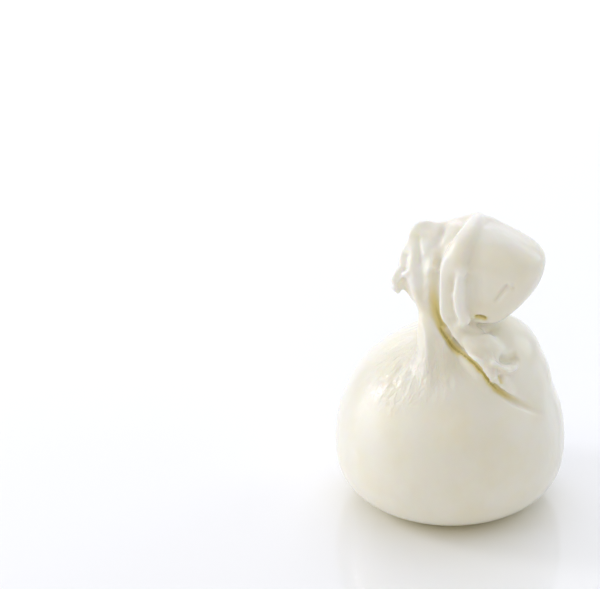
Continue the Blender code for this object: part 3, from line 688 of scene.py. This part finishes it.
def build_knot():
    """The pieces of the knot, which overlap each other and the neck."""
    core = ellipsoid("core", (3.5, 0.5, 62), (8.5, 8, 15))
    heart = ellipsoid("heart", (-4.8, -0.5, 65), (5.8, 6.0, 11.5))
    nape = limb("nape", [(1.5, 6, 50), (0, 6, 60), (-1.5, 5, 69), (0.5, 4.0, 76.5)],
                [(8.5, 5), (8.5, 5), (8, 4), (5.5, 2.8)], (-0.2, 1, 0))
    tuck = limb("tuck", [(12, 3, 50), (9, 7, 57), (9, 8.5, 66), (8.5, 6, 75), (6, 3.5, 80)],
                [(4, 3), (4, 3), (4, 3), (3.6, 2.8), (3, 2.4)], (0.2, 1, 0))
    marrow = limb("marrow", [(-0.7, -6.4, 59), (-0.9, -6.6, 65), (-0.1, -6.1, 71), (0.6, -5.2, 76)],
                  [(2.8, 2.4), (2.8, 2.4), (2.6, 2.4), (2.4, 2.2)], (0, -1, 0))
    crest = limb("crest", [(3.4, 1.0, 78.4), (6.5, 0.5, 80.3), (9.0, 0.5, 80.6), (12, 0.5, 79)],
                 [(2.4, 2.2), (2.6, 2.2), (2.6, 2.2), (2.6, 2.2)], (0, 0, 1))
    outer_lip = limb(
        "outer_lip",
        [(6.4, -0.5, 81.5), (4.2, -5.0, 80.2), (1.7, -8.0, 76.9), (-0.5, -9.4, 71.5), (-1.2, -10.1, 65.6),
         (-0.6, -11.0, 59.6), (1.6, -12.1, 54.5)],
        [(2.7, 2.5), (2.9, 2.6), (3.3, 2.7), (3.9, 2.3), (4.1, 2.2), (3.9, 2.1), (3.2, 2.0)],
        [(-0.9, -1, 0.4), (-0.9, -1, 0.2), (-0.9, -1, 0), (-0.8, -1, 0), (-0.5, -1, 0), (0.0, -1, 0)],
    )
    wrap = limb("wrap", [(3.0, -11.0, 54.0), (7, -12.5, 49.5), (12.0, -14.0, 43.0), (18, -12.5, 36.0)],
                [(3.5, 3.2), (6, 4.2), (7, 4.4), (7, 3.4)], (0.1, -1, 0.6))
    web = limb("web", [(1.0, 1.0, 79.0), (-1.5, -2.6, 76.0), (-3.0, -5.0, 72.0), (-4.0, -7.0, 67.5)],
               [(2.6, 1.6), (2.8, 2.0), (2.6, 2.0), (1.6, 1.2)], (-0.4, -1, 0.4))
    roll = limb("roll", [(-11.4, -1.2, 77.8), (-9.6, 0.2, 79.9), (-7.4, 1.2, 80.4), (-5.4, 2.0, 79.9)],
                [(0.9, 0.8), (1.0, 0.9), (1.0, 0.9), (0.8, 0.7)], (0, -1, 0.4))
    torn = limb("torn", [(-13.4, -4.6, 69.0), (-14.9, -5.1, 65.8), (-14.3, -5.5, 63.0)],
                [(2.0, 1.1), (2.1, 1.0), (0.9, 0.8)], (0, -1, 0))
    return [core, heart, nape, tuck, marrow, hood(), crest, outer_lip, wrap, fan(), web, roll, torn]


def back_creases(sizes):
    """Creases that fan out from the back of the neck, each a little crooked."""
    creases = []
    for number, (heading, low) in enumerate(BACK_GATHERS):
        angle = math.radians(heading)
        path = []
        for z in np.linspace(GATHER_TOP, low, GATHER_POINTS):
            bend = angle + GATHER_BEND * math.sin(GATHER_WAVE * z + GATHER_SHIFT * number)
            radius = body_radius(sizes, z)
            path.append((neck_lean(z) + radius * math.cos(bend), radius * math.sin(bend), z))
        creases.append((path, *GATHER_STROKE))
    return creases


def settle(obj):
    """Cuts the flat patch that the cheese rests on and brings the middle of the base to the node's. Returns
    how far it moved."""
    bm = bmesh.new()
    bm.from_mesh(obj.data)
    everything = bm.verts[:] + bm.edges[:] + bm.faces[:]
    bmesh.ops.bisect_plane(bm, geom=everything, plane_co=(0, 0, 0), plane_no=(0, 0, 1), clear_inner=True)
    rim = [v for v in bm.verts if abs(v.co.z) < RIM_NEAR * MM]
    bmesh.ops.remove_doubles(bm, verts=rim, dist=RIM_MERGE * MM)
    patch = bmesh.ops.holes_fill(bm, edges=[e for e in bm.edges if e.is_boundary])["faces"]
    bmesh.ops.triangulate(bm, faces=patch)
    bmesh.ops.recalc_face_normals(bm, faces=bm.faces)
    low, high = map(Vector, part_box(NODE))
    xs = [v.co.x for v in bm.verts]
    ys = [v.co.y for v in bm.verts]
    middle = Vector(((min(xs) + max(xs)) / 2, (min(ys) + max(ys)) / 2, 0))
    wanted = (low + high) / 2
    move = Vector((wanted.x - middle.x, wanted.y - middle.y, low.z))
    bmesh.ops.translate(bm, verts=bm.verts, vec=move)
    bm.to_mesh(obj.data)
    bm.free()
    return move


def thin_out(obj, triangles):
    """Brings the mesh down to its number of triangles, the smooth lower body first."""
    total = sum(len(face.vertices) - 2 for face in obj.data.polygons)
    if total <= triangles:
        return
    group = obj.vertex_groups.new(name="plain")
    heights = read(obj.data, "co")[:, 2] / MM
    group.add([int(i) for i in np.flatnonzero(heights < PLAIN_HEIGHT)], 1.0, "REPLACE")
    group.add([int(i) for i in np.flatnonzero(heights >= PLAIN_HEIGHT)], FOLD_THINNING, "REPLACE")
    thin = obj.modifiers.new("thin", "DECIMATE")
    thin.vertex_group = "plain"
    thin.ratio = triangles / total
    apply_modifiers(obj, obj.name)
    obj.vertex_groups.clear()


def store(obj, name, values):
    """Keeps one number for each vertex, for the material to read."""
    layer = obj.data.attributes.new(name, "FLOAT", "POINT")
    layer.data.foreach_set("value", np.ascontiguousarray(values, dtype=np.float32))


def hollows(obj):
    """How far each vertex lies under the smoothed skin, in millimetres."""
    ease = obj.modifiers.new("ease", "SMOOTH")
    ease.factor = EASE
    ease.iterations = HOLLOW_EASE
    graph = bpy.context.evaluated_depsgraph_get()
    soft = read(bpy.data.meshes.new_from_object(obj.evaluated_get(graph)), "co")
    obj.modifiers.clear()
    return np.einsum("ij,ij->i", soft - read(obj.data, "co"), read(obj.data, "normal")) / MM


def out_from_neck(co):
    """Places on the pouch as (two across the gathers, one along them), all in millimetres."""
    x, y, z = (co - (*NECK_MIDDLE, NECK_FOOT)).T
    out = np.hypot(x, y)
    return np.column_stack([GATHER_RADIUS * x / out, GATHER_RADIUS * y / out, out - z])


def mark_streaks(obj):
    """Stores the run of the gathers, and how strongly each place is drawn into them."""
    co = read(obj.data, "co") / MM
    strength = np.zeros(len(co))
    for middle, reach, height, _, _ in CRINKLES:
        if middle[2] < NECK_FOOT:
            away = np.linalg.norm(co - middle, axis=1) / reach
            strength = np.maximum(strength, height * np.clip(1 - away * away, 0, 1))
    store(obj, "streaks", np.clip(strength / STREAKED, 0, 1))
    layer = obj.data.attributes.new("gathers", "FLOAT_VECTOR", "POINT")
    layer.data.foreach_set("vector", out_from_neck(co).astype(np.float32).ravel())


def mark_folds(obj, move):
    """Stores where the skin is hollow, thin or drawn into gathers, and how much painted fold shade lies in
    the long fold, the pit and at the foot."""
    shift = np.array(move) / MM
    fold_shade = np.zeros(len(obj.data.vertices))
    for path, wide, full, *fades in FOLD_SHADE_PATHS:
        start, end = fades or (COLOUR_FADE, COLOUR_FADE)
        near, amount = along_path(obj, np.array(path) + shift, wide, start, end, FOLD_SHADE_DEPTH)
        fold_shade[near] = np.maximum(fold_shade[near], amount * full)
    thin = np.zeros(len(obj.data.vertices))
    for path, wide in THIN_PAINTED_LIGHT:
        near, amount = along_path(obj, np.array(path) + shift, wide, COLOUR_FADE, COLOUR_FADE)
        thin[near] = np.maximum(thin[near], amount)
    store(obj, "thin", thin)
    depth = hollows(obj)
    store(obj, "hollow", depth)
    mark_streaks(obj)
    # Painted warm shade round the foot, where the cheese meets the table
    foot = FOOT_SHADE * np.clip(1 - read(obj.data, "co")[:, 2] / MM / FOOT_HEIGHT, 0, 1)
    store(obj, "fold_shade", np.maximum(fold_shade * np.clip(1 + depth / FOLD_SHADE_PROUD, 0, 1), foot))


def node(tree, kind, label, **values):
    made = tree.nodes.new(kind)
    made.label = label
    for key, value in values.items():
        setattr(made, key, value)
    return made


def join(tree, start, end):
    tree.links.new(start, end)


def curd_material(finish):
    """Wet stretched curd with creamy patches, painted shade in the hollows and folds, painted light on ridges
    and thin edges, and a fine fibrous relief."""
    material = bpy.data.materials.new("stretched_curd")
    material.use_nodes = True
    tree = material.node_tree
    surface = tree.nodes["Principled BSDF"]
    place = node(tree, "ShaderNodeTexCoord", "place").outputs["Object"]

    def grain(label, scale, detail, stretch=(1, 1, 1), source=place, swirl=0.0):
        mapping = node(tree, "ShaderNodeMapping", label + " stretch")
        mapping.inputs["Scale"].default_value = stretch
        join(tree, source, mapping.inputs["Vector"])
        made = node(tree, "ShaderNodeTexNoise", label)
        made.inputs["Scale"].default_value = scale
        made.inputs["Detail"].default_value = detail
        made.inputs["Distortion"].default_value = swirl
        join(tree, mapping.outputs["Vector"], made.inputs["Vector"])
        return made.outputs["Fac"]

    def ramp(label, value, low, high):
        made = node(tree, "ShaderNodeMapRange", label, interpolation_type="SMOOTHSTEP")
        made.inputs["From Min"].default_value = low
        made.inputs["From Max"].default_value = high
        join(tree, value, made.inputs["Value"])
        return made.outputs["Result"]

    def mix(label, amount, first, second):
        made = node(tree, "ShaderNodeMix", label, data_type="RGBA")
        join(tree, amount, made.inputs["Factor"])
        # the node's colours go in at 6 and 7 and come out at 2
        for socket, colour in ((made.inputs[6], first), (made.inputs[7], second)):
            if hasattr(colour, "default_value"):
                join(tree, colour, socket)
            else:
                socket.default_value = (*colour, 1.0)
        return made.outputs[2]

    def attribute(name, output="Fac"):
        return node(tree, "ShaderNodeAttribute", name, attribute_name=name).outputs[output]

    def relief(label, height, distance, strength, under=None):
        made = node(tree, "ShaderNodeBump", label)
        made.inputs["Distance"].default_value = distance
        made.inputs["Strength"].default_value = strength
        join(tree, height, made.inputs["Height"])
        if under:
            join(tree, under, made.inputs["Normal"])
        return made.outputs["Normal"]

    patches = ramp("cream patches", grain("patches", *PATCH_GRAIN), *PATCHES_FROM_TO)
    colour = mix("cream over curd", patches, finish.curd, finish.cream_and_hollow_shade)
    # Painted shade: the hollows take the darker, yellower creamy colour
    hollow = ramp("hollows", attribute("hollow"), *HOLLOWS_FROM_TO)
    colour = mix("cream in hollows", hollow, colour, finish.cream_and_hollow_shade)
    # Painted light: ridges and the thin lips, rim and fan lighter and whiter, as if lit and lit through
    ridge = ramp("ridges", attribute("hollow"), *RIDGES_FROM_TO)
    colour = mix("bloom on ridges", ridge, colour, finish.painted_light)
    colour = mix("bloom on thin skin", attribute("thin"), colour, finish.painted_light)
    # Painted shade: the folds, the pit and the foot turn yellow as if with light bounced round in them
    fold_shade = attribute("fold_shade")
    colour = mix("whey over cream", ramp("fold_shade", fold_shade, *FOLD_SHADE_FROM_TO), colour, finish.fold_shade)
    # Painted deep shade where the fold shade is fullest
    colour = mix("serum over whey", ramp("deep_fold_shade", fold_shade, *DEEP_FOLD_SHADE_FROM_TO), colour, finish.deep_fold_shade)
    join(tree, colour, surface.inputs["Base Color"])

    roughness = node(tree, "ShaderNodeMapRange", "roughness")
    roughness.inputs["From Min"].default_value = ROUGHNESS_NOISE[0]
    roughness.inputs["From Max"].default_value = ROUGHNESS_NOISE[1]
    roughness.inputs["To Min"].default_value = finish.roughness + ROUGHNESS_SPREAD[0]
    roughness.inputs["To Max"].default_value = finish.roughness + ROUGHNESS_SPREAD[1]
    join(tree, grain("wetness", *WETNESS_GRAIN), roughness.inputs["Value"])
    join(tree, roughness.outputs["Result"], surface.inputs["Roughness"])

    streaks = grain("streaks", *STREAK_GRAIN, attribute("gathers", "Vector"), STREAK_SWIRL)
    gathered = node(tree, "ShaderNodeMath", "streak strength", operation="MULTIPLY")
    join(tree, streaks, gathered.inputs[0])
    join(tree, attribute("streaks"), gathered.inputs[1])
    normal = relief("streak relief", gathered.outputs["Value"], *STREAK_RELIEF)
    normal = relief("ripple relief", grain("ripple", *RIPPLE_GRAIN), *RIPPLE_RELIEF, normal)
    normal = relief("fibre relief", grain("fibre", *FIBRE_GRAIN), *FIBRE_RELIEF, normal)
    join(tree, normal, surface.inputs["Normal"])

    for name, value in SKIN_VALUES.items():
        surface.inputs[name].default_value = value
    surface.inputs["Subsurface Scale"].default_value = finish.depth
    surface.inputs["Coat Weight"].default_value = finish.wetness
    return material


def table_material(studio):
    """Glossy white acrylic with a trace of handling haze, and a painted glow that brightens it towards the
    back.
    """
    material = bpy.data.materials.new("table_top")
    material.use_nodes = True
    tree = material.node_tree
    surface = tree.nodes["Principled BSDF"]
    place = node(tree, "ShaderNodeTexCoord", "place").outputs["Object"]
    haze = node(tree, "ShaderNodeTexNoise", "haze")
    haze.inputs["Scale"].default_value = HAZE_SCALE
    join(tree, place, haze.inputs["Vector"])
    rough = node(tree, "ShaderNodeMapRange", "haze roughness")
    rough.inputs["To Min"].default_value = HAZE_ROUGHNESS[0]
    rough.inputs["To Max"].default_value = HAZE_ROUGHNESS[1]
    join(tree, haze.outputs["Fac"], rough.inputs["Value"])
    join(tree, rough.outputs["Result"], surface.inputs["Roughness"])
    apart = node(tree, "ShaderNodeSeparateXYZ", "place apart")
    join(tree, place, apart.inputs["Vector"])
    # Painted light: the table glows more towards the back, standing in for back light
    painted_glow = node(tree, "ShaderNodeMapRange", "painted_glow", interpolation_type="SMOOTHSTEP")
    painted_glow.inputs["From Min"].default_value = PAINTED_GLOW_FROM_TO[0]
    painted_glow.inputs["From Max"].default_value = PAINTED_GLOW_FROM_TO[1]
    painted_glow.inputs["To Max"].default_value = studio.painted_glow
    join(tree, apart.outputs["Y"], painted_glow.inputs["Value"])
    join(tree, painted_glow.outputs["Result"], surface.inputs["Emission Color"])
    surface.inputs["Emission Strength"].default_value = 1.0
    surface.inputs["Base Color"].default_value = (*studio.table, 1.0)
    surface.inputs["IOR"].default_value = TABLE_IOR
    return material


class BURRATA_OT_cheese(bpy.types.Operator):
    """Build the cheese: pouch, neck and knot in one skin, with its folds pressed in"""

    bl_idname = "burrata.cheese"
    bl_label = "Cheese"

    def execute(self, context):
        sizes = context.scene.burrata_sizes
        fine = sizes.fine_voxel / MM
        cheese = fuse("burrata_cheese", [build_base(sizes)] + build_knot(), fine, JOIN_EASE)
        # broad folds first, then the fine ones and the crinkles on top, each time with an even mesh
        press(cheese, RIDGES, -1.0)
        press(cheese, LONG_FOLD + CREASES + back_creases(sizes), sizes.fold_depth)
        cheese = fuse("burrata_cheese", [cheese], fine, PRESS_EASE)
        press(cheese, FINE_RIDGES, -1.0)
        press(cheese, FINE_CREASES + [PIT], sizes.fold_depth)
        crinkle(cheese)
        cheese = fuse("burrata_cheese", [cheese], fine, PRESS_EASE)
        move = settle(cheese)
        thin_out(cheese, sizes.triangles)
        mark_folds(cheese, move)
        cheese.data.materials.clear()
        cheese.data.materials.append(curd_material(context.scene.burrata_finish))
        cheese.data.shade_smooth()
        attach(cheese, BODY)
        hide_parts(NODE)
        return {"FINISHED"}


def area_light(name, at, width, height, power, colour):
    """A lamp that faces LIGHTS_AIM and that the camera doesn't see."""
    lamp = bpy.data.lights.new(name, "AREA")
    lamp.shape = "RECTANGLE"
    lamp.size = width
    lamp.size_y = height
    lamp.energy = power
    lamp.color = colour
    obj = bpy.data.objects.new(name, lamp)
    turn = (Vector(LIGHTS_AIM) - Vector(at)).to_track_quat("-Z", "Y")
    obj.matrix_world = Matrix.Translation(at) @ turn.to_matrix().to_4x4()
    obj.visible_camera = False
    bpy.context.scene.collection.objects.link(obj)


def surround(studio):
    """White all round for the camera, and an even soft light of its own brightness for everything else."""
    world = bpy.data.worlds.new("surround")
    world.use_nodes = True
    tree = world.node_tree
    tree.nodes.clear()
    room = node(tree, "ShaderNodeBackground", "room light")
    room.inputs["Color"].default_value = ROOM_LIGHT
    room.inputs["Strength"].default_value = studio.surround
    paper = node(tree, "ShaderNodeBackground", "white paper")
    paper.inputs["Color"].default_value = PAPER_WHITE
    seen = node(tree, "ShaderNodeLightPath", "seen")
    blend = node(tree, "ShaderNodeMixShader", "paper where seen")
    out = node(tree, "ShaderNodeOutputWorld", "world")
    join(tree, seen.outputs["Is Camera Ray"], blend.inputs[0])
    join(tree, room.outputs[0], blend.inputs[1])
    join(tree, paper.outputs[0], blend.inputs[2])
    join(tree, blend.outputs[0], out.inputs["Surface"])
    bpy.context.scene.world = world


def place_camera(studio):
    """A long lens, aimed so that the middle of the base falls at BASE_PIXEL of the frame."""
    focal = studio.lens * FRAME[0] / SENSOR
    across = (BASE_PIXEL[0] - FRAME[0] / 2) / focal
    up = (FRAME[1] / 2 - BASE_PIXEL[1]) / focal
    pitch = studio.elevation + math.atan(up)
    turn = Matrix.Rotation(math.atan(across), 3, "Z") @ Matrix.Rotation(math.pi / 2 - pitch, 3, "X")
    ray = turn @ Vector((across, up, -1))
    data = bpy.data.cameras.new("camera")
    data.lens = studio.lens
    data.sensor_width = SENSOR
    data.clip_start, data.clip_end = CAMERA_SEES
    camera = bpy.data.objects.new("camera", data)
    camera.matrix_world = Matrix.Translation(-ray * focal / PIXELS_PER_MM * MM) @ turn.to_4x4()
    bpy.context.scene.collection.objects.link(camera)
    bpy.context.scene.camera = camera


class BURRATA_OT_stage(bpy.types.Operator):
    """Set the table top, the lights and the camera"""

    bl_idname = "burrata.stage"
    bl_label = "Stage"

    def execute(self, context):
        studio = context.scene.burrata_studio
        bm = bmesh.new()
        bmesh.ops.create_grid(bm, x_segments=TABLE_SQUARES, y_segments=TABLE_SQUARES, size=TABLE_HALF)
        table = add_object("table_top", bm)
        table.data.materials.append(table_material(studio))
        surround(studio)
        for name, at, width, height, share, colour in LIGHTS:
            area_light(name, at, width, height, share * studio.lamps, colour)
        place_camera(studio)
        context.scene.view_settings.view_transform = "Standard"
        return {"FINISHED"}


class BURRATA_PT_panel(bpy.types.Panel):
    """Sizes, finish and stage of the burrata"""

    bl_idname = "BURRATA_PT_panel"
    bl_label = "Burrata"
    bl_space_type = "VIEW_3D"
    bl_region_type = "UI"
    bl_category = "Burrata"

    def draw(self, context):
        for settings, operator in (
            (context.scene.burrata_sizes, BURRATA_OT_cheese),
            (context.scene.burrata_finish, None),
            (context.scene.burrata_studio, BURRATA_OT_stage),
        ):
            box = self.layout.box()
            for name in settings.__annotations__:
                box.prop(settings, name)
            if operator:
                box.operator(operator.bl_idname)


CLASSES = (BurrataSizes, CurdFinish, StudioSettings, BURRATA_OT_cheese, BURRATA_OT_stage, BURRATA_PT_panel)


def register():
    for cls in CLASSES:
        bpy.utils.register_class(cls)
    bpy.types.Scene.burrata_sizes = PointerProperty(type=BurrataSizes)
    bpy.types.Scene.burrata_finish = PointerProperty(type=CurdFinish)
    bpy.types.Scene.burrata_studio = PointerProperty(type=StudioSettings)


def unregister():
    del bpy.types.Scene.burrata_studio
    del bpy.types.Scene.burrata_finish
    del bpy.types.Scene.burrata_sizes
    for cls in reversed(CLASSES):
        bpy.utils.unregister_class(cls)


def main():
    register()
    bpy.ops.burrata.cheese()
    bpy.ops.burrata.stage()


if __name__ == "__main__":
    main()
